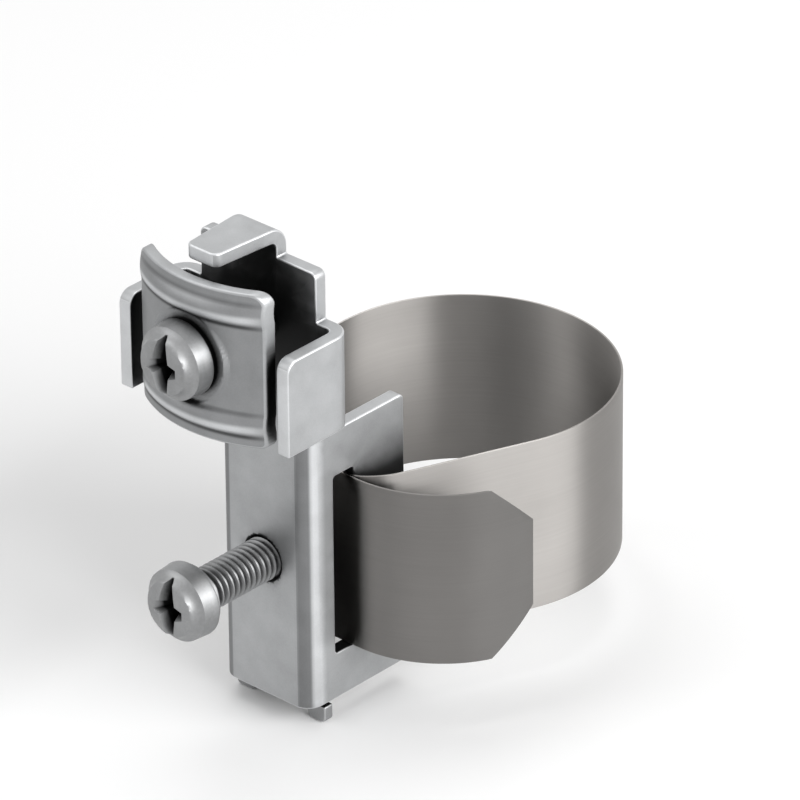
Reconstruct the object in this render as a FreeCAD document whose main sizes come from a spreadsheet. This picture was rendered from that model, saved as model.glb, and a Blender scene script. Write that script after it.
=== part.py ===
import FreeCAD, Part
import math
import os

import Sketcher
from FreeCAD import Vector

# Earthing pipe clamp. The origin is on the axis of the pipe, at the middle of the head's channel.
# +Z runs along the pipe and the clamp's head faces -Y. Lengths are millimetres, angles degrees.

SIZES = {
    # pipe and pressed head
    "pipe_radius": 21.2,        # 1 1/4 inch steel tube, 42.4 across
    "steel": 2.0,               # sheet of the head
    "seat_gap": 0.06,           # between a cheek's inner rear corner and the pipe
    "head_front": 39.3,         # pipe axis to the front face of the head
    "channel_wide": 16.0,       # over both cheeks
    "channel_high": 40.6,
    "channel_bend": 0.5,        # inner radius where the cheeks fold back
    "cheek_corner": 0.9,        # rounding of a cheek's rear corners
    "relief_high": 1.5,         # notch between the cheeks and the terminal plate
    # terminal plate and its three tabs
    "plate_wide": 20.4,
    "plate_top": 46.35,         # height of the plate's shoulders
    "plate_corner": 1.0,
    "terminal_drop": 9.95,      # from the shoulders down to the terminal screw's axis
    "terminal_level": "=plate_top - terminal_drop",
    "tab_drop": 11.0,           # from that axis down to the side tabs
    "tab_bottom": "=terminal_level - tab_drop",
    "tab_high": 13.8,
    "tabs_wide": 29.9,          # over both side tabs
    "tab_front": 49.8,          # pipe axis to the front edge of the tabs
    "tab_bend": 1.0,            # inner radius where the tabs fold forward
    "tab_corner": 1.8,          # rounding of a side tab's upper front corner
    "tongue_root": 6.8,         # width of the top tab at its fold
    "tongue_tip": 5.3,
    "tongue_rise": 4.25,        # from the shoulders up to the top tab's upper face
    "tongue_top": "=plate_top + tongue_rise",
    "tongue_corner": 1.1,
    # slots for the strap
    "slot_front": 34.1,         # pipe axis to the slot's front edge
    "slot_wide": 3.9,
    "slot_high": 26.8,
    "slot_corner": 0.5,
    # screws
    "thread": 6.0,
    "thread_play": 0.05,        # radial, between a screw and its threaded hole
    "hole_edge": 0.35,          # chamfer round the tension screw's hole
    "screw_head": 10.6,
    "neck_wide": 9.4,           # step under the head
    "neck_high": 0.6,
    "flank_high": 3.3,          # from the underside to where the flank turns into the shoulder
    "flank_wide": 10.2,
    "shoulder_mid_high": 4.18,  # shoulder's middle, where it breaks
    "shoulder_mid_wide": 9.3,
    "shoulder_high": 4.8,
    "shoulder_wide": 7.8,       # where the shoulder turns into the crown
    "head_high": 5.4,
    "tension_length": 16.0,
    "terminal_length": 20.0,
    "tip_bevel": 0.6,
    "tension_level": 0.4,       # height of the tension screw's axis
    "recess_long": 6.4,         # star recess at the crown's level: middle to its long points
    "recess_point": 0.3,        # half width of those points
    "recess_arm": 2.75,         # middle to the end of its short arms
    "recess_arm_half": 0.65,
    "recess_core": 1.45,
    "recess_core_up": 1.1,
    "recess_deep": 2.8,
    "recess_floor": 0.3,        # floor's outline as a share of the outline at the crown
    # saddle
    "saddle_steel": 1.7,        # sheet of the saddle
    "saddle_wide": 22.0,
    "saddle_high": 22.4,
    "saddle_rise": 3.25,        # how far the arch stands out between its ends
    "saddle_crown": 52.85,      # pipe axis to the top of the arch
    "saddle_top_corner": 1.8,
    "saddle_low_corner": 0.8,
    "saddle_play": 0.3,         # radial, round the terminal screw
    "bead_offset": 8.0,         # saddle's middle to a bead's middle
    "bead_wide": 2.8,
    "bead_high": 0.7,
    "bead_brow_wide": 1.6,      # where a bead's flank turns into its crest
    "bead_brow_high": 0.5,
    "bead_shift": 3.4,          # bead's centre of curvature in front of the arch's, so it runs out
    "bead_end": 0.9,            # bead's end to the saddle's end
    "bead_back_wide": 2.0,      # groove that the bead leaves behind the sheet
    "bead_back_flat": 0.9,      # that groove's floor
    "bead_back_deep": 0.5,
    "boss_radius": 6.5,         # flat seat under the screw head
    "boss_sink": 0.35,          # from the top of the arch back to the seat
    # pressure piece
    "press_front": 36.4,        # pipe axis to the face that the tension screw bears on
    "press_thick": 1.6,
    "press_play": 0.2,          # each side, between the cheeks
    "bar_play": 0.5,            # between a bar and the cheeks' edge
    "bar_high": 2.4,
    "bar_wide": 16.0,
    "foot_wide": 3.2,
    "foot_high": 1.1,
    "foot_corner": 0.7,
    "press_edge": 0.5,          # rounding of the edges that the strap bends over
    # strap
    "strap_thick": 0.3,
    "strap_wide": 25.6,
    "strap_low": 13.3,          # its lower edge below the tension screw
    "strap_pipe_gap": 0.02,
    "layer_rear": 30.55,        # pipe axis to the layer that starts the strap
    "layer_step": 0.4,          # from that layer to the one in front of it
    "strap_corner": 2.48,       # from a cheek to where that layer would meet the straight run
    "corner_out": "=channel_wide / 2 + strap_corner",
    "strap_line": "=pipe_radius + strap_pipe_gap + strap_thick / 2",
    # angle below the pipe's middle where the strap leaves it
    "strap_leave": "=atan(layer_rear / corner_out)"
                   " - acos(strap_line / sqrt(corner_out ^ 2 + layer_rear ^ 2))",
    "bend_inset": 0.6,          # how far inside a cheek's outer face the strap starts to bend
    "entry_bend": 3.0,
    "run_bend": 10.0,
    "hook_bend": 0.55,
    "hook_gap": 0.1,            # between the hooked end and the cheek
    "hook_long": 3.4,
    "flap_gap": 1.3,            # from the cheek's outer face to where the free end bends
    "flap_start": "=channel_wide / 2 + flap_gap",
    "flap_bend": 16.8,
    "flap_turn": 86.0,
    "flap_cut": 6.3,            # corners cut off the strap's free end
}

os.makedirs("parts", exist_ok=True)
doc = FreeCAD.newDocument("EarthingPipeClamp")
sheet = doc.addObject("Spreadsheet::Sheet", "Sizes")
for row, (alias, size) in enumerate(SIZES.items(), start=1):
    sheet.set("A%d" % row, alias)
    sheet.set("B%d" % row, str(size))
    sheet.setAlias("B%d" % row, alias)
doc.recompute()


# Helpers

def cells(words):
    """Put the sheet's name before each alias in an expression."""
    parts = []
    word = ""
    for letter in words + " ":
        if letter.isalnum() or letter == "_":
            word += letter
            continue
        parts.append("Sizes." + word if word in SIZES else word)
        parts.append(letter)
        word = ""
    return "".join(parts).strip()


def number(words):
    found = sheet.evalExpression(cells(words))
    return float(getattr(found, "Value", found))


def minus(words):
    return "-(%s)" % words


def new_body(label):
    body = doc.addObject("PartDesign::Body", label)
    body.Label = label
    return body


def new_sketch(body, plane, name, height="0", right="0", up="0"):
    """Sketch on one of the body's own planes; height moves it along that plane's normal."""
    sketch = body.newObject("Sketcher::SketchObject", name)
    support = next(item for item in body.Origin.OriginFeatures if item.Role == plane)
    sketch.AttachmentSupport = [(support, "")]
    sketch.MapMode = "FlatFace"
    for direction, words in (("x", right), ("y", up), ("z", height)):
        sketch.setExpression("AttachmentOffset.Base." + direction, cells(words))
    return sketch


def dimension(sketch, words, kind, *where):
    index = sketch.addConstraint(Sketcher.Constraint(kind, *where, number(words)))
    sketch.setExpression("Constraints[%d]" % index, cells(words))


def pin(sketch, geometry, vertex, x, y):
    """Hold a vertex at two expressions, measured from the sketch's origin."""
    for kind, words, axis in (("DistanceX", x, -2), ("DistanceY", y, -1)):
        if abs(number(words)) < 1e-9:
            sketch.addConstraint(Sketcher.Constraint("PointOnObject", geometry, vertex, axis))
        else:
            dimension(sketch, words, kind, -1, 1, geometry, vertex)


def arc_between(start, end, radius):
    """Shorter of the two anticlockwise arcs from start to end."""
    chord = end - start
    reach = math.sqrt(max(radius ** 2 - (chord.Length / 2) ** 2, 0.0))
    side = Vector(-chord.y, chord.x, 0).normalize()
    middle = (start + end) * 0.5 + side * (reach - radius)
    return Part.Arc(start, middle, end)


def outline(sketch, corners):
    """Closed outline. A corner is (x, y), or (x, y, radius, turn) where an arc leads on.

    turn is 1 for an anticlockwise arc and -1 for a clockwise one.
    """
    points = [Vector(number(corner[0]), number(corner[1]), 0) for corner in corners]
    starts = []
    for index, corner in enumerate(corners):
        start, end = points[index], points[(index + 1) % len(points)]
        if len(corner) == 2:
            piece = sketch.addGeometry(Part.LineSegment(start, end))
            starts.append((piece, 1, 2))
            continue
        if corner[3] > 0:
            piece = sketch.addGeometry(arc_between(start, end, number(corner[2])))
            starts.append((piece, 1, 2))
        else:
            piece = sketch.addGeometry(arc_between(end, start, number(corner[2])))
            starts.append((piece, 2, 1))
        dimension(sketch, corner[2], "Radius", piece)
    for index, (piece, begin, finish) in enumerate(starts):
        following, next_begin, _ = starts[(index + 1) % len(starts)]
        sketch.addConstraint(
            Sketcher.Constraint("Coincident", piece, finish, following, next_begin))
        pin(sketch, piece, begin, corners[index][0], corners[index][1])


def circle(sketch, x, y, radius):
    centre = Vector(number(x), number(y), 0)
    ring = sketch.addGeometry(Part.Circle(centre, Vector(0, 0, 1), number(radius)))
    dimension(sketch, radius, "Radius", ring)
    pin(sketch, ring, 3, x, y)


def box_outline(sketch, left, bottom, right, top):
    outline(sketch, [(left, bottom), (right, bottom), (right, top), (left, top)])


def check_growth(body, feature, before, grows):
    """A cut that points away from the solid changes nothing and shows no error."""
    doc.recompute()
    growth = feature.Shape.Volume - before
    if growth == 0 or (growth > 0) != grows:
        raise ValueError("%s of %s changed the volume by %.3f"
                         % (feature.Name, body.Label, growth))
    return feature


def prism(body, kind, sketch, name, length):
    """Pad along the sketch's normal, or Pocket against it."""
    before = body.Shape.Volume if body.Tip else 0.0
    feature = body.newObject("PartDesign::" + kind, name)
    feature.Profile = sketch
    feature.setExpression("Length", cells(length))
    return check_growth(body, feature, before, kind == "Pad")


def turned(body, kind, sketch, name, axis, angle="360"):
    """Revolution or Groove round an axis of the sketch, half of the angle to each side."""
    before = body.Shape.Volume if body.Tip else 0.0
    feature = body.newObject("PartDesign::" + kind, name)
    feature.Profile = sketch
    feature.ReferenceAxis = (sketch, [axis])
    feature.Midplane = True
    feature.setExpression("Angle", cells(angle))
    return check_growth(body, feature, before, kind == "Revolution")


def rounded(body, kind, name, size, wanted):
    """Fillet or Chamfer on the edges of the tip whose middle passes the test."""
    tip = body.Tip
    names = []
    for index, edge in enumerate(tip.Shape.Edges, start=1):
        middle = edge.valueAt((edge.FirstParameter + edge.LastParameter) / 2)
        if wanted(edge, middle):
            names.append("Edge%d" % index)
    if not names:
        raise ValueError("%s of %s found no edge" % (name, body.Label))
    feature = body.newObject("PartDesign::" + kind, name)
    feature.Base = (tip, names)
    feature.setExpression("Radius" if kind == "Fillet" else "Size", cells(size))
    doc.recompute()
    return feature


def near(first, second):
    return abs(first - second) < 1e-3


def along(edge, axis):
    """True for a straight edge that runs along axis."""
    if edge.Curve.TypeId != "Part::GeomLine":
        return False
    return abs(abs(edge.Curve.Direction.dot(axis)) - 1) < 1e-6


def mirrored(half):
    """Corners of a shape that is the same on both sides of x = 0, from its right half."""
    left = []
    for index in range(len(half) - 1, -1, -1):
        corner = (minus(half[index][0]), half[index][1])
        before = half[index - 1] if index else ()
        left.append(corner + tuple(before[2:4]))
    return half + left


X_AXIS = Vector(1, 0, 0)
Y_AXIS = Vector(0, 1, 0)
Z_AXIS = Vector(0, 0, 1)

head_rear = "head_front - steel"
cheek_in = "channel_wide / 2 - steel"
cheek_rear = "sqrt(pipe_radius ^ 2 - (%s) ^ 2) + seat_gap" % cheek_in


# Pressed head: a channel whose cheeks fold back to the pipe, and above it a cross-shaped
# plate whose two side tabs and top tab fold forward round the conductors.

def folded_ends(body, name, half_wide, flat, open_end, bend, level, height):
    """A strip of sheet with both ends folded at right angles, standing on level.

    flat is the distance of its outer face from the pipe's axis, open_end that of its ends.
    """
    sign = "" if number(open_end) > number(flat) else "-"
    outer = "(%s + steel)" % bend
    turn = 1 if sign else -1
    inner_face = "-(%s) - (%s1 * steel)" % (flat, sign)
    sketch = new_sketch(body, "XY_Plane", name + "Profile", level)
    outline(sketch, mirrored([
        ("%s - %s" % (half_wide, outer), minus(flat), outer, turn * 1),
        (half_wide, "-(%s) - (%s1 * %s)" % (flat, sign, outer)),
        (half_wide, minus(open_end)),
        ("%s - steel" % half_wide, minus(open_end)),
        ("%s - steel" % half_wide, "-(%s) - (%s1 * %s)" % (flat, sign, outer), bend, -turn),
        ("%s - %s" % (half_wide, outer), inner_face),
    ]))
    return prism(body, "Pad", sketch, name, height)


head = new_body("clamp_head")
folded_ends(head, "Channel", "channel_wide / 2", "head_front", cheek_rear,
            "channel_bend", "-channel_high / 2", "channel_high")

channel_flat = "channel_wide / 2 - channel_bend - steel"
plate_low = "channel_high / 2 + relief_high"
plate_outline = new_sketch(head, "XZ_Plane", "PlateOutline", head_rear)
outline(plate_outline, mirrored([
    (channel_flat, "channel_high / 2"),
    (channel_flat, plate_low),
    ("plate_wide / 2", plate_low),
    ("plate_wide / 2", "plate_top - plate_corner", "plate_corner", 1),
    ("plate_wide / 2 - plate_corner", "plate_top"),
]))
prism(head, "Pad", plate_outline, "Plate", "steel")

folded_ends(head, "SideTabs", "tabs_wide / 2", head_rear, "tab_front",
            "tab_bend", "tab_bottom", "tab_high")

fold_y = "-(%s) - tab_bend - steel" % head_rear
fold_z = "tongue_top - tab_bend - steel"
tongue_profile = new_sketch(head, "YZ_Plane", "TopTabProfile", "-tongue_root / 2")
outline(tongue_profile, [
    (minus(head_rear), "plate_top - plate_corner"),
    (minus(head_rear), fold_z, "tab_bend + steel", 1),
    (fold_y, "tongue_top"),
    ("-tab_front", "tongue_top"),
    ("-tab_front", "tongue_top - steel"),
    (fold_y, "tongue_top - steel", "tab_bend", -1),
    ("-head_front", fold_z),
    ("-head_front", "plate_top - plate_corner"),
])
prism(head, "Pad", tongue_profile, "TopTab", "tongue_root")

for side, sign in (("Right", ""), ("Left", "-")):
    taper = new_sketch(head, "XY_Plane", side + "TaperSketch", "tongue_top")
    root, tip = sign + "tongue_root / 2", sign + "tongue_tip / 2"
    clear = sign + "(tongue_root / 2 + steel)"
    outline(taper, [(root, fold_y), (tip, "-tab_front"), (tip, "-tab_front - steel"),
                    (clear, "-tab_front - steel"), (clear, fold_y)])
    prism(head, "Pocket", taper, side + "Taper", "steel * 1.5")

slot_sketch = new_sketch(head, "YZ_Plane", "SlotSketch", "channel_wide / 2 + steel")
slot_near, slot_far = "-slot_front", "slot_wide - slot_front"
slot_end, slot_flat = "slot_high / 2", "slot_high / 2 - slot_corner"
outline(slot_sketch, [
    (slot_near + " + slot_corner", minus(slot_end)),
    (slot_far + " - slot_corner", minus(slot_end), "slot_corner", 1),
    (slot_far, minus(slot_flat)),
    (slot_far, slot_flat, "slot_corner", 1),
    (slot_far + " - slot_corner", slot_end),
    (slot_near + " + slot_corner", slot_end, "slot_corner", 1),
    (slot_near, slot_flat),
    (slot_near, minus(slot_flat), "slot_corner", 1),
])
prism(head, "Pocket", slot_sketch, "StrapSlots", "channel_wide + steel * 2")

hole_radius = "thread / 2 + thread_play"
for name, level in (("Tension", "tension_level"), ("Terminal", "terminal_level")):
    hole_sketch = new_sketch(head, "XZ_Plane", name + "HoleSketch", "head_front + steel")
    circle(hole_sketch, "0", level, hole_radius)
    prism(head, "Pocket", hole_sketch, name + "Hole", "steel * 3")

rounded(head, "Fillet", "TabCorners", "tab_corner", lambda edge, middle: (
    along(edge, X_AXIS) and near(middle.y, -number("tab_front"))
    and near(middle.z, number("tab_bottom + tab_high"))))
rounded(head, "Fillet", "TongueCorners", "tongue_corner", lambda edge, middle: (
    along(edge, Z_AXIS) and near(middle.y, -number("tab_front"))
    and near(abs(middle.x), number("tongue_tip / 2"))))
rounded(head, "Fillet", "CheekCorners", "cheek_corner", lambda edge, middle: (
    along(edge, X_AXIS) and near(middle.y, -number(cheek_rear))))
rounded(head, "Chamfer", "HoleEdge", "hole_edge", lambda edge, middle: (
    edge.Curve.TypeId == "Part::GeomCircle"
    and near(edge.Curve.Center.z, number("tension_level"))
    and near(middle.y, -number("head_front"))
    and near(edge.Curve.Radius, number(hole_radius))))


# Strap: one strip that starts as a hook on the left cheek, crosses the channel, goes round
# the pipe, comes back through both slots and ends as a free flap on the right. Seen from
# above it turns left all the way.

strap = new_body("tension_strap")
hook_x = "-channel_wide / 2 - hook_gap - strap_thick / 2"
hook_tip_y = "-layer_rear + hook_bend + hook_long"
layer_front = "(layer_rear + layer_step)"
bend_start = "channel_wide / 2 - bend_inset"
flap_end_y = "-%s + flap_bend * (1 - cos(flap_turn))" % layer_front


def heading(angle):
    return Vector(math.cos(math.radians(angle)), math.sin(math.radians(angle)), 0)


def run_corners(layer):
    """Where the strap, leaving a slot on the right, changes from one bend to the next.

    The first bend's turn is a guess here, which the sketch's tangents then settle.
    """
    guess = 38.0
    last = 90 - number("strap_leave")
    begin = Vector(number(bend_start), -number(layer), 0)
    first = begin + (heading(guess - 90) - heading(-90)) * number("entry_bend")
    second = first + (heading(last - 90) - heading(guess - 90)) * number("run_bend")
    return begin, first, second, heading(last - 90) * number("strap_line")


def other_side(point):
    return Vector(-point.x, point.y, 0)


path = new_sketch(strap, "XY_Plane", "StrapPath", "strap_wide / 2 - strap_low")
begin, first, second, touch = run_corners("layer_rear")
end, last, before, leave = [other_side(point) for point in run_corners(layer_front)]
hook_tip = Vector(number(hook_x), number(hook_tip_y), 0)
hook_low = hook_tip - Y_AXIS * number("hook_long")
hook_out = hook_low + (heading(-90) - heading(180)) * number("hook_bend")
flap_start = Vector(number("flap_start"), -number(layer_front), 0)
flap_end = flap_start + (heading(number("flap_turn") - 90) - heading(-90)) * number("flap_bend")
ring_top = Y_AXIS * number("strap_line")

HOOK, HOOK_BEND, REAR, ENTRY, RUN, STRAIGHT, RING = range(7)
STRAIGHT_BACK, RUN_BACK, ENTRY_BACK, FRONT, FLAP = range(7, 12)
path.addGeometry([
    Part.LineSegment(hook_tip, hook_low),
    arc_between(hook_low, hook_out, number("hook_bend")),
    Part.LineSegment(hook_out, begin),
    arc_between(begin, first, number("entry_bend")),
    arc_between(first, second, number("run_bend")),
    Part.LineSegment(second, touch),
    Part.Arc(touch, ring_top, leave),
    Part.LineSegment(leave, before),
    arc_between(before, last, number("run_bend")),
    arc_between(last, end, number("entry_bend")),
    Part.LineSegment(end, flap_start),
    arc_between(flap_start, flap_end, number("flap_bend")),
])
for piece in range(FLAP):
    path.addConstraint(Sketcher.Constraint("Tangent", piece, 2, piece + 1, 1))
path.addConstraint(Sketcher.Constraint("Vertical", HOOK))
path.addConstraint(Sketcher.Constraint("Horizontal", REAR))
path.addConstraint(Sketcher.Constraint("Horizontal", FRONT))
path.addConstraint(Sketcher.Constraint("Coincident", RING, 3, -1, 1))
pin(path, HOOK, 1, hook_x, hook_tip_y)
pin(path, REAR, 2, bend_start, "-layer_rear")
pin(path, FRONT, 1, minus(bend_start), minus(layer_front))
dimension(path, "flap_start", "DistanceX", -1, 1, FRONT, 2)
dimension(path, flap_end_y, "DistanceY", -1, 1, FLAP, 2)
dimension(path, minus("strap_line * sin(strap_leave)"), "DistanceY", -1, 1, RING, 1)
dimension(path, minus("strap_line * sin(strap_leave)"), "DistanceY", -1, 1, RING, 2)
for piece, radius in ((HOOK_BEND, "hook_bend"), (ENTRY, "entry_bend"), (RUN, "run_bend"),
                      (RING, "strap_line"), (RUN_BACK, "run_bend"),
                      (ENTRY_BACK, "entry_bend"), (FLAP, "flap_bend")):
    dimension(path, radius, "Radius", piece)

strap_section = new_sketch(strap, "XZ_Plane", "StrapSection", minus(hook_tip_y))
box_outline(strap_section, "-channel_wide / 2 - hook_gap - strap_thick", "-strap_low",
            "-channel_wide / 2 - hook_gap", "strap_wide - strap_low")
strip = strap.newObject("PartDesign::AdditivePipe", "Strip")
strip.Profile = strap_section
strip.Spine = path
doc.recompute()

flap_cuts = new_sketch(strap, "YZ_Plane", "FlapCuts", "flap_start + flap_bend * 1.5")
upper, lower = "strap_wide - strap_low", "-strap_low"
outline(flap_cuts, [(flap_end_y + " - flap_cut", upper), (flap_end_y + " + steel", upper),
                    (flap_end_y + " + steel", upper + " - flap_cut - steel")])
outline(flap_cuts, [(flap_end_y + " - flap_cut", lower),
                    (flap_end_y + " + steel", lower + " + flap_cut + steel"),
                    (flap_end_y + " + steel", lower)])
prism(strap, "Pocket", flap_cuts, "FlapCorners",
      "flap_start + flap_bend * 1.5 - strap_line - strap_thick")


# Screws: a domed head with a star recess, on a plain shank that is as wide as the thread.

def star(body, name, level, depth, share):
    """Outline with two long points and two short arms, depth below the top of the crown."""
    sketch = new_sketch(body, "XZ_Plane", name, depth, up=level)
    quarter = [
        ("recess_arm * " + share, "recess_arm_half * " + share),
        ("recess_core * " + share, "recess_core_up * " + share),
        ("recess_point * " + share, "recess_long * " + share),
    ]
    upper = quarter + [(minus(x), z) for x, z in reversed(quarter)]
    outline(sketch, upper + [(minus(x), minus(z)) for x, z in upper])
    return sketch


def screw(label, level, face, length):
    """face is the distance from the pipe's axis to the underside of the head."""
    body = new_body(label)
    profile = new_sketch(body, "YZ_Plane", label + "Profile", up=level)
    crown = "(head_high - shoulder_high)"
    crown_radius = "((shoulder_wide / 2) ^ 2 + %s ^ 2) / (2 * %s)" % (crown, crown)
    tip = "%s - (%s)" % (length, face)
    outline(profile, [
        (tip, "0"),
        (tip, "thread / 2 - tip_bevel"),
        (tip + " - tip_bevel", "thread / 2"),
        (minus(face), "thread / 2"),
        (minus(face), "neck_wide / 2"),
        ("-(%s) - neck_high" % face, "neck_wide / 2"),
        ("-(%s) - neck_high" % face, "screw_head / 2"),
        ("-(%s) - flank_high" % face, "flank_wide / 2"),
        ("-(%s) - shoulder_mid_high" % face, "shoulder_mid_wide / 2"),
        ("-(%s) - shoulder_high" % face, "shoulder_wide / 2", crown_radius, 1),
        ("-(%s) - head_high" % face, "0"),
    ])
    turned(body, "Revolution", profile, label + "Turned", "H_Axis")
    top = "%s + head_high" % face
    before = body.Shape.Volume
    mouth = star(body, label + "Mouth", level, top, "1")
    floor = star(body, label + "Floor", level, top + " - recess_deep", "recess_floor")
    recess = body.newObject("PartDesign::SubtractiveLoft", label + "Recess")
    recess.Profile = mouth
    recess.Sections = [floor]
    recess.Ruled = True
    check_growth(body, recess, before, False)
    return body


tension_screw = screw("tension_screw", "tension_level", "press_front + tension_length",
                      "tension_length")
seat_face = "saddle_crown - boss_sink"
terminal_screw = screw("terminal_screw", "terminal_level", seat_face, "terminal_length")


# Pressure piece: a plate that slides between the cheeks, with a bar at each end that runs
# along the cheeks' edges and has a foot at each corner.

pressure = new_body("pressure_piece")
press_half = "channel_wide / 2 - steel - press_play"
bar_low = "channel_high / 2 + bar_play"
bar_end = bar_low + " + bar_high"
foot_in = "bar_wide / 2 - foot_wide"
upper_half = [
    (press_half, bar_low),
    ("bar_wide / 2", bar_low),
    ("bar_wide / 2", bar_end + " - foot_corner", "foot_corner", 1),
    ("bar_wide / 2 - foot_corner", bar_end),
    (foot_in + " + foot_corner", bar_end, "foot_corner", 1),
    (foot_in, bar_end + " - foot_corner"),
    (foot_in, bar_end + " - foot_high"),
]
lower_half = []
for index in range(len(upper_half) - 1, -1, -1):
    corner = (upper_half[index][0], minus(upper_half[index][1]))
    lower_half.append(corner + tuple(upper_half[index - 1][2:4] if index else ()))
press_outline = new_sketch(pressure, "XZ_Plane", "PressOutline", "press_front - press_thick")
outline(press_outline, mirrored(lower_half + upper_half))
prism(pressure, "Pad", press_outline, "PressPlate", "press_thick")
rounded(pressure, "Fillet", "PressEdges", "press_edge", lambda edge, middle: (
    along(edge, Z_AXIS) and near(middle.y, -number("press_front - press_thick"))
    and near(abs(middle.x), number(press_half))))


# Saddle: an arched plate across the terminal, with a bead along its top and bottom and a
# flat round seat for the screw head.

saddle = new_body("clamping_saddle")
arch = "(((saddle_wide / 2) ^ 2 + saddle_rise ^ 2) / (2 * saddle_rise))"
arch_middle = "(%s - saddle_crown)" % arch
saddle_end = "saddle_rise - saddle_crown"
saddle_end_rear = "%s - sqrt((%s - saddle_steel) ^ 2 - (saddle_wide / 2) ^ 2)" % (arch_middle, arch)
arch_profile = new_sketch(saddle, "XY_Plane", "ArchProfile", "terminal_level - saddle_high / 2")
outline(arch_profile, [
    ("-saddle_wide / 2", saddle_end, arch, 1),
    ("saddle_wide / 2", saddle_end),
    ("saddle_wide / 2", saddle_end_rear, arch + " - saddle_steel", -1),
    ("-saddle_wide / 2", saddle_end_rear),
])
prism(saddle, "Pad", arch_profile, "Arch", "saddle_high")

seat_rear = "saddle_crown - boss_sink - saddle_steel"
for kind, name, height, length in (
        ("Pad", "Boss", seat_rear, "saddle_steel"),
        ("Pocket", "BossFront", "saddle_crown + saddle_steel", "saddle_steel + boss_sink"),
        ("Pocket", "BossRear", seat_rear, "saddle_steel")):
    boss_sketch = new_sketch(saddle, "XZ_Plane", name + "Sketch", height, up="terminal_level")
    circle(boss_sketch, "0", "0", "boss_radius")
    prism(saddle, kind, boss_sketch, name, length)

bead_middle = arch_middle + " - bead_shift"
bead_angle = "2 * asin((saddle_wide / 2 - bead_end) / (%s - bead_shift))" % arch


def bead(kind, name, level, surface, wide, crest):
    """Ridge or groove along the arch. crest leads from its upper edge on surface to its lower."""
    profile = new_sketch(saddle, "YZ_Plane", name + "Sketch", right=bead_middle,
                         up="terminal_level + " + level)
    root = "-%s + saddle_steel / 2" % surface
    outline(profile, crest + [
        (minus(surface), "-%s / 2" % wide),
        (root, "-%s / 2" % wide),
        (root, wide + " / 2"),
    ])
    turned(saddle, kind, profile, name, "V_Axis", bead_angle)


bead_front = "(%s - bead_shift)" % arch
bead_rear = "(%s - bead_shift - saddle_steel)" % arch
for name, level in (("UpperBead", "bead_offset"), ("LowerBead", "-bead_offset")):
    bead("Revolution", name, level, bead_front, "bead_wide", [
        (minus(bead_front), "bead_wide / 2"),
        ("-%s - bead_brow_high" % bead_front, "bead_brow_wide / 2"),
        ("-%s - bead_high" % bead_front, "0"),
        ("-%s - bead_brow_high" % bead_front, "-bead_brow_wide / 2"),
    ])
    bead("Groove", name + "Back", level, bead_rear, "bead_back_wide", [
        (minus(bead_rear), "bead_back_wide / 2"),
        ("-%s - bead_back_deep" % bead_rear, "bead_back_flat / 2"),
        ("-%s - bead_back_deep" % bead_rear, "-bead_back_flat / 2"),
    ])

saddle_hole = new_sketch(saddle, "XZ_Plane", "SaddleHoleSketch", "saddle_crown + saddle_steel",
                         up="terminal_level")
circle(saddle_hole, "0", "0", "thread / 2 + saddle_play")
prism(saddle, "Pocket", saddle_hole, "SaddleHole", "saddle_steel * 4")
for name, size, level in (("Top", "saddle_top_corner", "terminal_level + saddle_high / 2"),
                          ("Low", "saddle_low_corner", "terminal_level - saddle_high / 2")):
    rounded(saddle, "Fillet", name + "SaddleCorners", size, lambda edge, middle: (
        along(edge, Y_AXIS) and near(abs(middle.x), number("saddle_wide / 2"))
        and near(middle.z, number(level))))


# Checks and files

doc.recompute()
for item in doc.Objects:
    if "Invalid" in item.State or "Error" in item.State:
        raise ValueError("%s failed: %s" % (item.Label, item.State))
for body in (head, strap, tension_screw, terminal_screw, pressure, saddle):
    shape = body.Shape
    if shape.isNull() or not shape.isValid() or len(shape.Solids) != 1:
        raise ValueError("%s isn't one valid solid" % body.Label)
    shape.exportStep("parts/%s.step" % body.Label)
    print("%-16s %9.1f mm3" % (body.Label, shape.Volume))
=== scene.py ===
import math
import bmesh
import bpy
from mathutils import Matrix, Vector
from mathutils.bvhtree import BVHTree


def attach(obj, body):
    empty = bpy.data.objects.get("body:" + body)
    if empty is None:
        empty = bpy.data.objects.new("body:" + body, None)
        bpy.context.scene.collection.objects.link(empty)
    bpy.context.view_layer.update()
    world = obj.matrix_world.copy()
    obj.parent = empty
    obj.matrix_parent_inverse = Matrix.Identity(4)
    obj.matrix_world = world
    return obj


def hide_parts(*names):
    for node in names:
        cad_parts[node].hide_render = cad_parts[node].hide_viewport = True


# Earthing clamp with a strap and a screw terminal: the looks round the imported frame.
# The strap's loop runs round Z and the head faces -Y. Piece sizes are millimetres.

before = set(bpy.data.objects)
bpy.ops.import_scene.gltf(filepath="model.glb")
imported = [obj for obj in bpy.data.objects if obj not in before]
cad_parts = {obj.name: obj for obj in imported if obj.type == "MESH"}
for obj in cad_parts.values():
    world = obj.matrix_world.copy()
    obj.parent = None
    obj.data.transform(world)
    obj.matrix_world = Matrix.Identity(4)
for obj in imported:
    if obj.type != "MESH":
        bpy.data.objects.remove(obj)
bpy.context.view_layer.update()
mm = 0.001
print("frame loaded:", ", ".join(sorted(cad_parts)))


# Node trees

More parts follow.
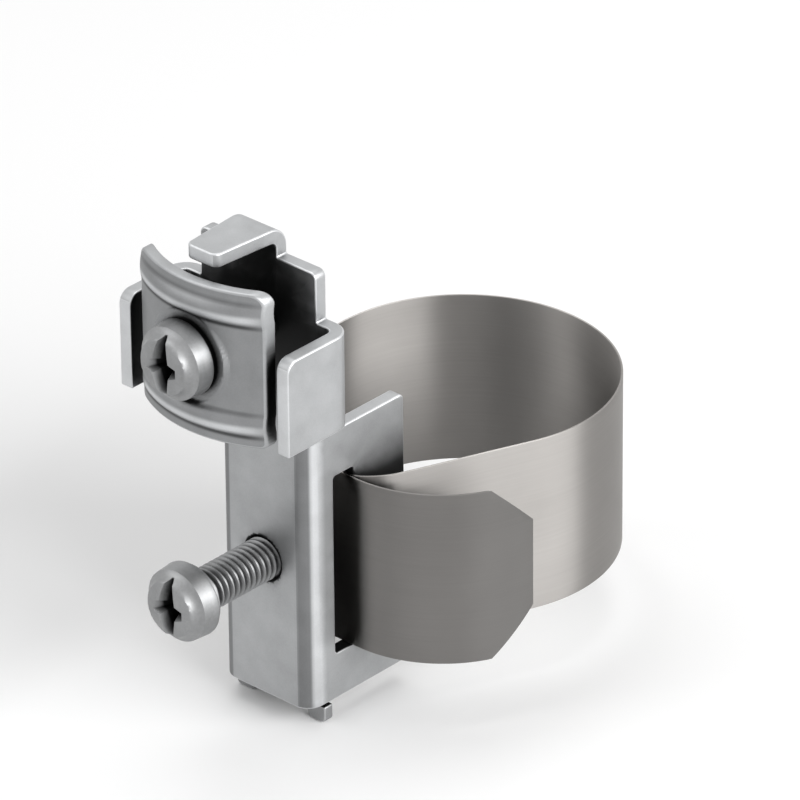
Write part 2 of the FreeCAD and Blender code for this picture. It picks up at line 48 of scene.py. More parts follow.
class NodeValue:                     # one socket's value, which Python sums turn into Math nodes
    def __init__(self, tree, socket):
        self.tree, self.socket = tree, socket

    def other(self, outlet):         # another output of the same node
        return NodeValue(self.tree, self.socket.node.outputs[outlet])

    def maths(self, operation, *values):
        return self.tree.add("ShaderNodeMath", dict(enumerate(values)), operation=operation)

    def __add__(self, value):
        return self.maths("ADD", self, value)

    def __radd__(self, value):
        return self.maths("ADD", value, self)

    def __sub__(self, value):
        return self.maths("SUBTRACT", self, value)

    def __rsub__(self, value):
        return self.maths("SUBTRACT", value, self)

    def __mul__(self, value):
        return self.maths("MULTIPLY", self, value)

    def __rmul__(self, value):
        return self.maths("MULTIPLY", value, self)

    def __truediv__(self, value):
        return self.maths("DIVIDE", self, value)

    def __abs__(self):
        return self.maths("ABSOLUTE", self)

    def above(self, value):
        return self.maths("GREATER_THAN", self, value)

    def atLeast(self, value):
        return self.maths("MAXIMUM", self, value)

    def atMost(self, value):
        return self.maths("MINIMUM", self, value)

    def whole(self):
        return self.maths("FLOOR", self)


class NodeTree:                      # short calls for building a shader or geometry tree
    def __init__(self, tree):
        self.nodes, self.links = tree.nodes, tree.links
        self.nodes.clear()

    def add(self, kind, sockets=None, stops=None, **settings):
        node = self.nodes.new(kind)
        for name, value in settings.items():
            setattr(node, name, value)
        if stops:                    # a colour ramp's stops: (place, colour)
            elements = node.color_ramp.elements
            while len(elements) < len(stops):
                elements.new(0.5)
            for element, (place, colour) in zip(elements, stops):
                element.position, element.color = place, colour
        for name, value in (sockets or {}).items():
            self.feed(node, name, value)
        return NodeValue(self, node.outputs[0]) if node.outputs else node

    def feed(self, node, name, value):
        if isinstance(value, NodeValue):
            self.links.new(value.socket, node.inputs[name])
        else:
            node.inputs[name].default_value = value


def grey(level, warmth=0.0):         # linear colour, warmer or cooler than neutral
    return (level * (1 + warmth), level, level * (1 - warmth), 1.0)


def twoTones(tone, lift=1.0):        # a ramp's stops from a finish's dark to its light colour
    return [(0.3, grey(tone["dark"] * lift, tone["warmth"])),
            (0.7, grey(tone["light"] * lift, tone["warmth"]))]


def weighed(weights, *values):       # weighted sum of values
    total = values[0] * weights[0]
    for weight, value in zip(weights[1:], values[1:]):
        total = total + value * weight
    return total


def readValue(tree, name):           # a value kept on the mesh's points
    return tree.add("ShaderNodeAttribute", attribute_name=name).other("Fac")


def noise(tree, place, scale, detail, rough=0.5):
    return tree.add("ShaderNodeTexNoise", {
        "Vector": place, "Scale": scale, "Detail": detail, "Roughness": rough})


def newMaterial(name):
    material = bpy.data.materials.new(name)
    material.use_nodes = True
    return material, NodeTree(material.node_tree)


def newGroup(name, inputs):          # geometry nodes with a Geometry output
    group = bpy.data.node_groups.new(name, "GeometryNodeTree")
    for label, kind in inputs.items():
        group.interface.new_socket(label, in_out="INPUT", socket_type="NodeSocket" + kind)
    group.interface.new_socket("Geometry", in_out="OUTPUT", socket_type="NodeSocketGeometry")
    return group, NodeTree(group)


# Finishes

sheetFinish = {
    "head": {"dark": 0.35, "light": 0.46, "warmth": -0.016},
    # painted shade: the saddle gets a darker tone than the head
    "saddle": {"dark": 0.23, "light": 0.31, "warmth": -0.018},
    "press": {"dark": 0.27, "light": 0.36, "warmth": -0.012},
    "spangle": 520.0, "clouds": 150.0, "grain": 5200.0,      # patterns per metre
    "toneMix": (0.12, 0.56, 0.32),   # their shares in the colour
    "roughMix": (0.2, 0.5, 0.3),     # and in the roughness
    "roughness": (0.42, 0.56),
    "metallic": 0.92,
    "bump": 0.04, "bumpDeep": 0.0004,
    "edgeHighlightLift": 1.45,                # painted highlight: how much lighter the rounded edges and the sheared ends are
    "edgePolish": 0.06, "edgeBump": 0.6,
    "bendShade": 0.52,               # painted shade over the channel's bends
    "bendHighlightLift": 0.5,                 # painted highlight along the line beside each bend
    "crestHighlight": 1.1, "creaseShade": 0.75,   # painted highlight on the crests and painted shade in the creases of the saddle's two beads
    "deepShade": 0.06,               # what is left of the colour deep in the hollows
    "hollow": (0.40, 0.78),          # openness from the deep hollow to the clear face
}


def hollowShade(tree, finish):       # 1 in the open, down to deepShade in the hollows
    start, end = finish["hollow"]
    deep = finish["deepShade"]
    share = ((readValue(tree, "openness") - start) / (end - start)).atLeast(0.0).atMost(1.0)
    share = share * share * (3.0 - 2.0 * share)
    return deep + (1.0 - deep) * share


def scaled(tree, colour, factor):    # a colour times a value
    return tree.add("ShaderNodeVectorMath", {0: colour, "Scale": factor}, operation="SCALE")


def galvanisedSheet(name, finish, piece, edge=False):
    material, tree = newMaterial(name)
    tone = finish[piece]
    place = tree.add("ShaderNodeTexCoord").other("Object")
    spangle = tree.add("ShaderNodeTexVoronoi", {"Vector": place, "Scale": finish["spangle"],
                                                "Randomness": 1.0}, feature="SMOOTH_F1")
    tint = tree.add("ShaderNodeSeparateColor", {"Color": spangle.other("Color")})
    clouds = noise(tree, place, finish["clouds"], 5.0, 0.6)
    grain = noise(tree, place, finish["grain"], 3.0, 0.65)
    lift = finish["edgeHighlightLift"] if edge else 1.0
    share = weighed(finish["toneMix"], tint, clouds, grain).atMost(1.0)
    colour = tree.add("ShaderNodeValToRGB", {"Fac": share}, stops=twoTones(tone, lift))
    shade = hollowShade(tree, finish)
    # painted shade over the channel's bends and a painted highlight beside each
    if piece == "head" and not edge:
        shade = shade * (1.0 - (1.0 - finish["bendShade"]) * readValue(tree, "bend"))
        shade = shade * (1.0 + finish["bendHighlightLift"] * readValue(tree, "paintedBendHighlight"))
    # painted highlight on the bead crests and painted shade in the creases at their feet
    if piece == "saddle" and not edge:
        shade = shade * (1.0 + finish["crestHighlight"] * readValue(tree, "crest"))
        shade = shade * (1.0 - finish["creaseShade"] * readValue(tree, "crease"))
    colour = scaled(tree, colour, shade)
    low, high = finish["roughness"]
    rough = low + (high - low) * weighed(finish["roughMix"], tint, clouds, grain)
    if edge:
        rough = rough - finish["edgePolish"]
    bump = tree.add("ShaderNodeBump", {
        "Strength": finish["bump"] * (finish["edgeBump"] if edge else 1.0),
        "Distance": finish["bumpDeep"], "Height": weighed((0.6, 0.4), grain, clouds)})
    shader = tree.add("ShaderNodeBsdfPrincipled", {
        "Base Color": colour, "Roughness": rough, "Metallic": finish["metallic"], "Normal": bump})
    tree.add("ShaderNodeOutputMaterial", {"Surface": shader})
    return material


stripFinish = {
    "dark": 0.28, "light": 0.34, "warmth": 0.04,
    "flapShade": 0.58,                # painted shade: the loose end is darker than the loop
    "flapMetal": 0.2,                # and nearly matt
    "flapDull": 0.12,                # and rougher by this much
    "tipShade": 0.6,                  # painted shade, darkest towards its tip
    "rimHighlight": 0.4,                  # painted highlight: how much brighter its slit edges are
    "clouds": 70.0,
    "streaks": 2600.0,               # rolling lines per metre, across the strip
    "stretch": 0.012,                # how long those lines are drawn out along it
    "roughness": (0.50, 0.56),
    "anisotropic": 0.97, "quarterTurn": 0.25,
    "bump": 0.012, "bumpDeep": 0.0002,
    "deepShade": 0.05, "hollow": (0.22, 0.52),
}


def rolledStrip(name, finish):       # reads the strip's own UV map: u along it, v across it
    material, tree = newMaterial(name)
    run = tree.add("ShaderNodeUVMap", uv_map="strip")
    lengthwise = tree.add("ShaderNodeMapping", {
        "Vector": run, "Scale": (finish["stretch"], 1.0, 1.0)})
    streaks = noise(tree, lengthwise, finish["streaks"], 4.0, 0.7)
    clouds = noise(tree, run, finish["clouds"], 3.0)
    colour = tree.add("ShaderNodeValToRGB", {"Fac": weighed((0.35, 0.65), streaks, clouds)},
                      stops=twoTones(finish))
    flap = readValue(tree, "flap")
    # painted shade in the hollows and over the loose end
    shade = hollowShade(tree, finish) * (1.0 - (1.0 - finish["flapShade"]) * flap)
    # painted highlight on the strip's edges
    shade = shade * (1.0 + finish["rimHighlight"] * readValue(tree, "rim"))
    # painted shade towards the loose end's tip
    shade = shade * (1.0 - (1.0 - finish["tipShade"]) * readValue(tree, "tip"))
    colour = scaled(tree, colour, shade)
    low, high = finish["roughness"]
    rough = low + (high - low) * weighed((0.5, 0.5), streaks, clouds) + finish["flapDull"] * flap
    bump = tree.add("ShaderNodeBump", {"Strength": finish["bump"],
                                       "Distance": finish["bumpDeep"], "Height": streaks})
    shader = tree.add("ShaderNodeBsdfPrincipled", {
        "Base Color": colour, "Roughness": rough, "Normal": bump,
        "Metallic": 1.0 - (1.0 - finish["flapMetal"]) * flap,
        "Anisotropic": finish["anisotropic"], "Anisotropic Rotation": finish["quarterTurn"]})
    tree.add("ShaderNodeOutputMaterial", {"Surface": shader})
    return material


screwFinish = {
    "dark": 0.24, "light": 0.33, "warmth": -0.012,
    "roughness": (0.42, 0.52),
    "clouds": 260.0, "grain": 2400.0,
    "bump": 0.02, "bumpDeep": 0.0003,
    "recessShade": 0.9, "recessDull": 0.2,   # painted shade deep in the recess, and the rougher unpolished bottom
    "deepShade": 0.05, "hollow": (0.28, 0.75),
}


def platedSteel(name, finish):
    material, tree = newMaterial(name)
    place = tree.add("ShaderNodeTexCoord").other("Object")
    clouds = noise(tree, place, finish["clouds"], 3.0)
    grain = noise(tree, place, finish["grain"], 3.0, 0.6)
    colour = tree.add("ShaderNodeValToRGB", {"Fac": weighed((0.65, 0.35), clouds, grain)},
                      stops=twoTones(finish))
    recess = readValue(tree, "recess")
    # painted shade in the hollows and deep in the recess
    shade = hollowShade(tree, finish) * (1.0 - finish["recessShade"] * recess)
    colour = scaled(tree, colour, shade)
    low, high = finish["roughness"]
    rough = low + (high - low) * weighed((0.5, 0.5), clouds, grain)
    rough = rough + finish["recessDull"] * recess
    bump = tree.add("ShaderNodeBump", {"Strength": finish["bump"],
                                       "Distance": finish["bumpDeep"], "Height": grain})
    shader = tree.add("ShaderNodeBsdfPrincipled", {
        "Base Color": colour, "Roughness": rough, "Metallic": 1.0, "Normal": bump})
    tree.add("ShaderNodeOutputMaterial", {"Surface": shader})
    return material


sheetSteel = {piece: galvanisedSheet(piece + "Sheet", sheetFinish, piece)
              for piece in ("head", "saddle", "press")}
# lighter copies of the sheet colours for the edges: painted highlight
sheetEdgeHighlight = {piece: galvanisedSheet(piece + "Edge", sheetFinish, piece, edge=True)
             for piece in ("head", "saddle", "press")}
stripSteel = rolledStrip("rolledStrip", stripFinish)
screwSteel = platedSteel("platedSteel", screwFinish)
print("finishes made")


# Helpers for meshes

madePieces = []


def newObject(name, data):
    made = bpy.data.objects.new(name, data)
    bpy.context.scene.collection.objects.link(made)
    return made


def pieceFromMesh(name, mesh, body, nodes):
    piece = newObject(name, mesh)
    madePieces.append(piece)
    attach(piece, body)
    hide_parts(*nodes)
    return piece


def finishedMesh(piece):             # a plain mesh with the piece's modifiers applied
    evaluated = piece.evaluated_get(bpy.context.evaluated_depsgraph_get())
    mesh = bpy.data.meshes.new_from_object(evaluated)
    bpy.data.objects.remove(piece)
    return mesh


def meshFrom(name, vertices, faces, materials):
    mesh = bpy.data.meshes.new(name)
    mesh.from_pydata([tuple(v) for v in vertices], [], faces)
    for material in materials:
        mesh.materials.append(material)
    mesh.validate()
    return mesh


def smoothed(mesh, sharpAngle):
    mesh.shade_smooth()
    mesh.set_sharp_from_angle(angle=math.radians(sharpAngle))
    return mesh


def cutRange(solid, axis, low, high, step, near=None):   # even cuts, of the faces near or of all
    k = "xyz".index(axis)
    normal = [0, 0, 0]
    normal[k] = 1
    count = int((high - low) / (step * mm))
    for j in range(1, count + 1):
        spot = [0, 0, 0]
        spot[k] = low + (high - low) * j / (count + 1)
        faces = [f for f in solid.faces if near is None or near(f)]
        edges = {e for f in faces for e in f.edges}
        corners = {v for f in faces for v in f.verts}
        bmesh.ops.bisect_plane(solid, geom=list(corners) + list(edges) + faces,
                               plane_co=spot, plane_no=normal, dist=0.001 * mm)


def sliced(mesh, step, axes="xyz", finer=()):    # cut on a grid, so that shades can change
    solid = bmesh.new()
    solid.from_mesh(mesh)
    bmesh.ops.triangulate(solid, faces=[f for f in solid.faces if len(f.verts) > 4],
                          ngon_method="EAR_CLIP")
    for axis in axes:
        spots = [v.co["xyz".index(axis)] for v in solid.verts]
        cutRange(solid, axis, min(spots), max(spots), step)
    for level, reach, fine in finer:         # round a hole of the front face
        def near(face):
            middle = face.calc_center_median()
            return (face.normal.y < -0.9
                    and math.hypot(middle.x, middle.z - level * mm) < reach * mm)
        cutRange(solid, "x", -reach * mm, reach * mm, fine, near)
        cutRange(solid, "z", (level - reach) * mm, (level + reach) * mm, fine, near)
    solid.to_mesh(mesh)
    solid.free()
    return mesh


def valueLayer(mesh, name, values):
    layer = mesh.attributes.new(name, "FLOAT", "POINT")
    layer.data.foreach_set("value", values)


def smoothStep(value, low, high):
    t = min(max((value - low) / (high - low), 0.0), 1.0)
    return t * t * (3 - 2 * t)


# Pressed pieces: a joined copy of the frame's node, its edges rounded

rounding = {
    "merge": 0.002, "flat": 0.6,     # points this close and faces this even are joined
    "sharp": 48, "grid": 1.3, "weight": 60,
    "stray": 0.12,                   # furthest that a rounded corner may lie from the sheet
}
pressedPieces = {
    "clamp_head": {"body": "head", "name": "pressedHead", "finish": "head", "edge": 0.22,
                   "segments": 3, "shearedBefore": -48.0, "bendFrom": 36.8, "bendTop": 24.6,
                   "bendTurn": (3, 12, 48, 60), "highlightTurn": (54, 66),     # degrees from the front
                   "finer": [(0.4, 5.6, 0.4)]},
    "pressure_piece": {"body": "pressure_piece", "name": "pressurePiece", "finish": "press",
                       "edge": 0.18, "segments": 3, "finer": []},
}


def roundedCopy(node, shape, r):
    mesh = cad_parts[node].data.copy()
    solid = bmesh.new()
    solid.from_mesh(mesh)
    bmesh.ops.remove_doubles(solid, verts=solid.verts, dist=r["merge"] * mm)
    bmesh.ops.dissolve_limit(solid, angle_limit=math.radians(r["flat"]),
                             use_dissolve_boundaries=False, verts=solid.verts, edges=solid.edges)
    solid.to_mesh(mesh)
    solid.free()
    mesh.materials.clear()
    mesh.materials.append(sheetSteel[shape["finish"]])
    mesh.materials.append(sheetEdgeHighlight[shape["finish"]])
    for face in mesh.polygons:       # painted highlight: the sheared ends of the tabs and the tongue take the lighter edge colour
        sheared = face.normal.y < -0.9 and face.center.y < shape.get("shearedBefore", -999) * mm
        face.material_index = 1 if sheared else 0
        face.use_smooth = True
    scratch = newObject("scratch", mesh)
    bevel = scratch.modifiers.new("Edges", "BEVEL")
    bevel.width, bevel.segments = shape["edge"] * mm, shape["segments"]
    bevel.limit_method, bevel.angle_limit = "ANGLE", math.radians(r["sharp"])
    # the rounded edges take the lighter edge colour, a painted highlight
    bevel.use_clamp_overlap, bevel.material = False, 1
    bevel.miter_outer, bevel.loop_slide = "MITER_ARC", False
    skin = BVHTree.FromPolygons([v.co.copy() for v in mesh.vertices],
                                [list(face.vertices) for face in mesh.polygons])
    rounded = finishedMesh(scratch)
    for v in rounded.vertices:       # a corner that the rounding threw out goes back to the sheet
        spot, _, _, away = skin.find_nearest(v.co)
        if away > r["stray"] * mm:
            v.co = spot
    scratch = newObject("scratch", sliced(rounded, r["grid"], finer=shape["finer"]))
    weigh = scratch.modifiers.new("Normals", "WEIGHTED_NORMAL")
    weigh.keep_sharp, weigh.weight = True, r["weight"]
    done = finishedMesh(scratch)
    done.name = shape["name"]
    # masks for the painted shade over the channel's bends and the painted highlight beside each
    if "bendFrom" in shape:
        bend, line = [], []
        rise, full, fall, gone = shape["bendTurn"]
        for v in done.vertices:
            channel = 1.0 - smoothStep(v.co.z / mm, shape["bendTop"] - 1, shape["bendTop"])
            channel *= smoothStep(-v.co.y / mm, shape["bendFrom"] - 0.9, shape["bendFrom"])
            turn = math.degrees(math.atan2(abs(v.normal.x), -v.normal.y))
            bend.append(channel * smoothStep(turn, rise, full) * (1 - smoothStep(turn, fall, gone)))
            line.append(channel * smoothStep(turn, *shape["highlightTurn"]))
        valueLayer(done, "bend", bend)
        valueLayer(done, "paintedBendHighlight", line)
    return done


for node, shape in pressedPieces.items():
    pieceFromMesh(shape["name"], roundedCopy(node, shape, rounding), shape["body"],
                  [node])
    print("rounded:", shape["name"])


# Strap: the section swept along its route

strap = {
    "thickness": 0.3, "width": 25.6, "low": -13.3, "edgeRadius": 0.09,
    "loop": 21.22,                   # the loop's inner radius
    "layerRear": 30.55, "layerStep": 0.4,    # the two layers in the slots
    "cheek": 8.0,                    # half of the channel's width
    "corner": 2.48,                  # from a cheek to where the rear layer would meet the loop
    "bendInset": 0.6, "entryBend": 3.0, "runBend": 10.0,
    "hookBend": 0.55, "hookGap": 0.1, "hookLong": 3.4,
    "flapStart": 9.3, "flapBend": 16.8, "flapTurn": 86.0, "flapCut": 6.3,
    "flapBlend": (0.5, 5.0), "tipBlend": (0.25, 0.9), "rimBlend": (0.2, 0.7),
    "step": 2.5,                     # degrees between points on a bend
    "grid": 1.6, "smooth": 35,
}


def strapRoute(s):
    ring = s["loop"] + s["thickness"] / 2
    cornerX = s["cheek"] + s["corner"]
    leave = (math.atan2(s["layerRear"], cornerX)
             - math.acos(ring / math.hypot(cornerX, s["layerRear"])))
    points = []

    def heading(angle):
        return Vector((math.cos(angle), math.sin(angle), 0))

    def bend(start, first, turn, radius):    # left-hand bend from heading first
        centre = start + radius * heading(first + math.pi / 2)
        count = max(2, math.ceil(math.degrees(turn) / s["step"]))
        for k in range(1, count + 1):
            points.append(centre + radius * heading(first - math.pi / 2 + turn * k / count))
        return points[-1]

    def firstTurn(layer):            # the entry bend's turn, so that the run bend meets the ring
        last = math.pi / 2 - leave
        reach = (s["cheek"] - s["bendInset"]) * math.cos(leave) + layer * math.sin(leave)
        r1, r2 = s["entryBend"], s["runBend"]
        return last - math.acos((ring - r2 - reach + r1 * math.sin(leave)) / (r1 - r2))

    def approach(layer):             # from a slot on the right to the ring
        begin = Vector((s["cheek"] - s["bendInset"], -layer, 0))
        points.append(begin)
        turn = firstTurn(layer)
        middle = bend(begin, 0.0, turn, s["entryBend"])
        bend(middle, turn, math.pi / 2 - leave - turn, s["runBend"])

    hookX = -s["cheek"] - s["hookGap"] - s["thickness"] / 2
    tip = Vector((hookX, -s["layerRear"] + s["hookBend"] + s["hookLong"], 0))
    points.append(tip)
    low = tip - Vector((0, s["hookLong"], 0))
    points.append(low)
    bend(low, -math.pi / 2, math.pi / 2, s["hookBend"])
    approach(s["layerRear"])
    touch = ring * heading(-leave)
    points.append(touch)
    bend(touch, math.pi / 2 - leave, math.pi + 2 * leave, ring)
    kept = len(points)
    approach(s["layerRear"] + s["layerStep"])
    back = [Vector((-p.x, p.y, 0)) for p in reversed(points[kept:])]
    points[kept:] = back
    start = Vector((s["flapStart"], -s["layerRear"] - s["layerStep"], 0))
    points.append(start)
    flapFirst = len(points)
    end = bend(start, 0.0, math.radians(s["flapTurn"]), s["flapBend"])
    return points, end.y


def strapTree():                     # sweeps the section along the route, cuts the flap's corners
    group, tree = newGroup("strapSweep", {
        "Geometry": "Geometry", "Thickness": "Float", "Width": "Float", "Edge radius": "Float",
        "Middle height": "Float", "Cut from": "Float", "Flap from": "Float",
        "Finish": "Material"})
    given = tree.add("NodeGroupInput")
    along = tree.add("GeometryNodeSplineParameter").other("Length")
    route = tree.add("GeometryNodeCaptureAttribute", {"Geometry": given.other("Geometry")})
    route.socket.node.capture_items.new("FLOAT", "along")
    tree.feed(route.socket.node, "along", along)
    capturedAlong = route.other("along")
    section = tree.add("GeometryNodeCurvePrimitiveQuadrilateral", {
        "Width": given.other("Thickness"), "Height": given.other("Width")})
    section = tree.add("GeometryNodeFilletCurve", {
        "Curve": section, "Radius": given.other("Edge radius"), "Count": 3}, mode="POLY")
    swept = tree.add("GeometryNodeCurveToMesh", {
        "Curve": route, "Profile Curve": section, "Fill Caps": True})
    spot = tree.add("ShaderNodeSeparateXYZ", {"Vector": tree.add("GeometryNodeInputPosition")})
    height = spot.other("Z")
    tooFar = (spot.other("Y") - given.other("Cut from")).atLeast(0.0)
    tooFar = tooFar * capturedAlong.above(given.other("Flap from"))
    side = height.above(0.0) * 2.0 - 1.0
    moved = tree.add("ShaderNodeCombineXYZ", {
        "Z": given.other("Middle height") - side * tooFar})
    shaped = tree.add("GeometryNodeSetPosition", {"Geometry": swept, "Offset": moved})
    shaped = tree.add("GeometryNodeStoreNamedAttribute", {
        "Geometry": shaped, "Name": "alongStrip", "Value": capturedAlong},
        data_type="FLOAT", domain="POINT")
    shaped = tree.add("GeometryNodeRealizeInstances", {"Geometry": shaped})
    shaped = tree.add("GeometryNodeSetMaterial", {"Geometry": shaped,
                                                  "Material": given.other("Finish")})
    tree.add("NodeGroupOutput", {"Geometry": shaped})
    return group


def setInputs(modifier, values):
    for item in modifier.node_group.interface.items_tree:
        if item.item_type == "SOCKET" and item.in_out == "INPUT" and item.name in values:
            modifier[item.identifier] = values[item.name]


def makeStrap(s):
    points, flapEnd = strapRoute(s)
    curve = bpy.data.curves.new("strapRoute", "CURVE")
    curve.dimensions = "3D"
    spline = curve.splines.new("POLY")
    spline.points.add(len(points) - 1)
    for target, point in zip(spline.points, points):
        target.co = (point.x * mm, point.y * mm, 0.0, 1.0)
    length = sum((b - a).length for a, b in zip(points, points[1:]))
    flapLong = math.radians(s["flapTurn"]) * s["flapBend"]
    scratch = newObject("strapScratch", curve)
    sweep = scratch.modifiers.new("Sweep", "NODES")
    sweep.node_group = strapTree()
    setInputs(sweep, {
        "Thickness": s["thickness"] * mm, "Width": s["width"] * mm,
        "Edge radius": s["edgeRadius"] * mm,
        "Middle height": (s["low"] + s["width"] / 2) * mm,
        "Cut from": (flapEnd - s["flapCut"]) * mm,
        "Flap from": (length - flapLong) * mm, "Finish": stripSteel})
    mesh = sliced(finishedMesh(scratch), s["grid"], "z")
    onFlap = [entry.value / mm - length + flapLong for entry in mesh.attributes["alongStrip"].data]
    # the loose end gets painted shade, and is more matt and rougher; painted shade grows towards
    # its tip
    valueLayer(mesh, "flap", [smoothStep(run, *s["flapBlend"]) for run in onFlap])
    valueLayer(mesh, "tip", [smoothStep(run / flapLong, *s["tipBlend"]) for run in onFlap])
    # painted highlight along the strip's edges
    valueLayer(mesh, "rim", [smoothStep(abs(v.normal.z), *s["rimBlend"]) for v in mesh.vertices])
    along = mesh.attributes["alongStrip"].data
    layer = mesh.uv_layers.new(name="strip")
    for loop in mesh.loops:
        vertex = mesh.vertices[loop.vertex_index]
        layer.data[loop.index].uv = (along[loop.vertex_index].value, vertex.co.z)
    mesh.name = "tensionStrap"
    return smoothed(mesh, s["smooth"])


strapMesh = makeStrap(strap)
pieceFromMesh("tensionStrap", strapMesh, "head", ["tension_strap"])
print("strap swept")


# Saddle: an arched plate with two beads and a flat seat

saddle = {
    "steel": 1.7, "wide": 22.0, "high": 22.4, "rise": 3.25, "crown": 52.85, "level": 36.4,
    "topCorner": 1.8, "lowCorner": 0.8, "edge": 0.32,
    "beadOffset": 8.0, "beadWide": 3.3, "beadHigh": 0.82, "beadShift": 3.4,
    "beadFoot": 0.92, "beadEnd": 1.0768,     # half widths from where to where its foot blends in
    "backShare": 0.7, "backWide": 0.8,       # the bead's depth and width behind the sheet
    "crestLine": (-0.3, 0.1, 0.5),   # half widths: its middle, where it fades and where it ends
    "creaseLine": (1.0, 0.05, 0.3), "upperCrease": 0.5,
    "seat": 6.3, "seatBlend": 0.35, "seatSink": 0.35,
    "hole": 3.3, "holeSides": 72, "columns": 96, "rows": 110, "cornerRows": 8, "rimRows": 4,
    "smooth": 40,
}


